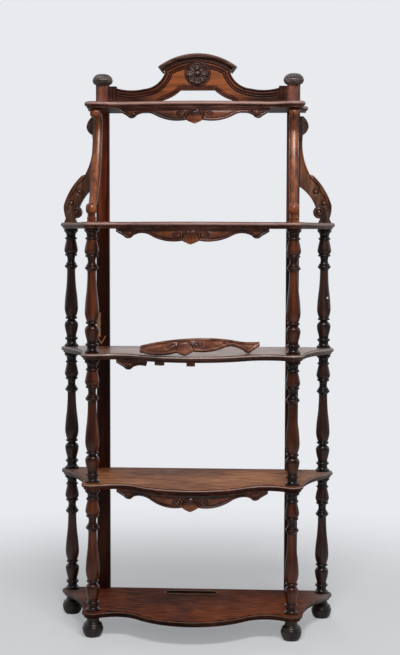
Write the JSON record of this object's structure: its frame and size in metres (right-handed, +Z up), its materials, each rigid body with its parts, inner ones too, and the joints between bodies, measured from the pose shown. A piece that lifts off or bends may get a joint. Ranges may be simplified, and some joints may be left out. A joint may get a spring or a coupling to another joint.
{
  "type": "etagere",
  "caption": "Tall étagère of dark polished wood: serpentine shelves on turned columns, back uprights with finials, scroll brackets, arched crest and carved aprons, one broken.",
  "frame": {"origin": "on the floor, under the middle of the outline in plan", "axes": "+Z up, +X to the right seen from the front, front towards -Y"},
  "size_m": [0.7768, 0.361, 1.6],
  "materials": {
    "shelf_wood": "French polished, reddish brown",
    "turned_wood": "French polished, near-black brown",
    "dark_carved_wood": "polished dark carving",
    "upright_wood": "French polished, dark reddish brown",
    "crest_wood": "French polished, orange brown",
    "bracket_wood": "French polished, orange brown",
    "carved_wood": "polished dark reddish carving",
    "bare_wood": "bare, unpolished",
    "screw_steel": "darkened steel"
  },
  "bodies": {
    "stand": {"apron_fourth": "carved_wood", "apron_second": "carved_wood", "apron_stub": "carved_wood", "apron_top": "carved_wood", "bracket_dowels": "bare_wood", "bracket_front_left": "bracket_wood", "bracket_front_right": "bracket_wood", "bracket_side_left": "carved_wood", "bracket_side_right": "carved_wood", "column_front_left_lower": "turned_wood", "column_front_left_middle": "turned_wood", "column_front_left_upper": "turned_wood", "column_front_right_lower": "turned_wood", "column_front_right_middle": "turned_wood", "column_front_right_upper": "turned_wood", "column_rear_left_lower": "turned_wood", "column_rear_left_middle": "turned_wood", "column_rear_left_upper": "turned_wood", "column_rear_right_lower": "turned_wood", "column_rear_right_middle": "turned_wood", "column_rear_right_upper": "turned_wood", "crest_board": "crest_wood", "crest_cap": "crest_wood", "crest_dowels": "bare_wood", "finial_left": "dark_carved_wood", "finial_right": "dark_carved_wood", "foot_front_left": "turned_wood", "foot_front_right": "turned_wood", "foot_rear_left": "turned_wood", "foot_rear_right": "turned_wood", "glue_blocks_fourth": "bare_wood", "glue_blocks_second": "bare_wood", "glue_blocks_third": "bare_wood", "glue_blocks_top": "bare_wood", "rosette": "dark_carved_wood", "shelf_bottom": "shelf_wood", "shelf_fourth": "shelf_wood", "shelf_second": "shelf_wood", "shelf_third": "shelf_wood", "shelf_top": "shelf_wood", "upright_left": "upright_wood", "upright_right": "upright_wood", "upright_screws": "screw_steel"},
    "loose_apron": {"apron_fragment": "carved_wood"}
  },
  "joints": [
    {"name": "fragment_slide", "type": "slide", "parent": "stand", "child": "loose_apron", "axis": [0, -1, 0], "range_m": [-0.195, 0.065]}
  ]
}
